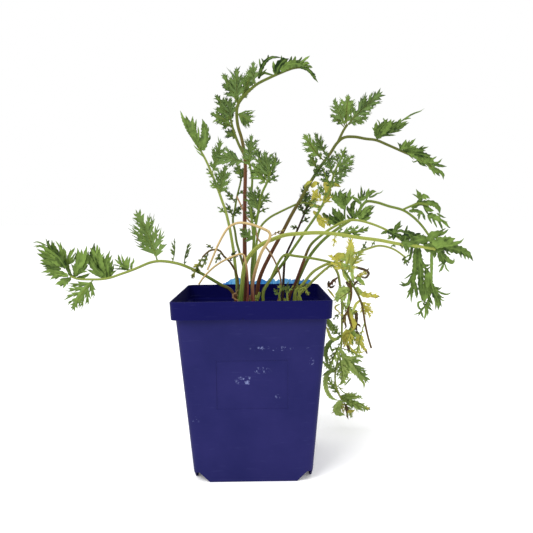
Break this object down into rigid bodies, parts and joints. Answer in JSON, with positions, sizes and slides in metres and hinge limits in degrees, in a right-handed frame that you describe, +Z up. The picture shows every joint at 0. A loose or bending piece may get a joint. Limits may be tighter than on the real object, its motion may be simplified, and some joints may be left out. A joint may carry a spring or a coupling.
{
  "type": "potted tanacetum",
  "caption": "Potted tanacetum out of flower: feathery toothed leaves on long arching stalks, in a square tapered nursery pot filled with soil.",
  "frame": {"origin": "on the ground under the middle of the pot", "axes": "+Z up, +X to the right of the picture, and the front of the pot faces -Y"},
  "size_m": [0.3117, 0.1436, 0.2949],
  "materials": {
    "pot_plastic": "satin",
    "tape_film": "satin",
    "potting_soil": "matte",
    "crown_wood": "matte",
    "leaf_green": "satin",
    "leaf_dark": "satin",
    "leaf_yellow": "satin",
    "dry_straw": "matte",
    "dry_brown": "matte"
  },
  "bodies": {
    "root": {"pot": "pot_plastic", "tape": "tape_film", "soil": "potting_soil", "crown_main": "crown_wood", "crown_side": "crown_wood", "frond_left_arch": "leaf_green", "frond_upright_left": "leaf_green", "frond_dark_back": "leaf_dark", "frond_tall": "leaf_green", "frond_centre": "leaf_green", "frond_slanted": "leaf_green", "frond_upper_right": "leaf_green", "frond_right_inner": "leaf_green", "frond_right_arch": "leaf_green", "frond_dark_short": "leaf_dark", "frond_brown_arch": "leaf_green", "frond_long_right": "leaf_green", "frond_low_right": "leaf_green", "frond_hanging_green": "leaf_green", "frond_hanging_yellow": "leaf_yellow", "frond_curled": "leaf_green", "dry_stalk_arched": "dry_straw", "dry_stalk_bent": "dry_straw", "dry_stalk_thin": "dry_brown", "young_leaf_fork": "leaf_green", "young_leaf_curved": "leaf_green", "young_leaf_curly": "leaf_green", "dry_curl": "dry_brown"}
  },
  "joints": []
}
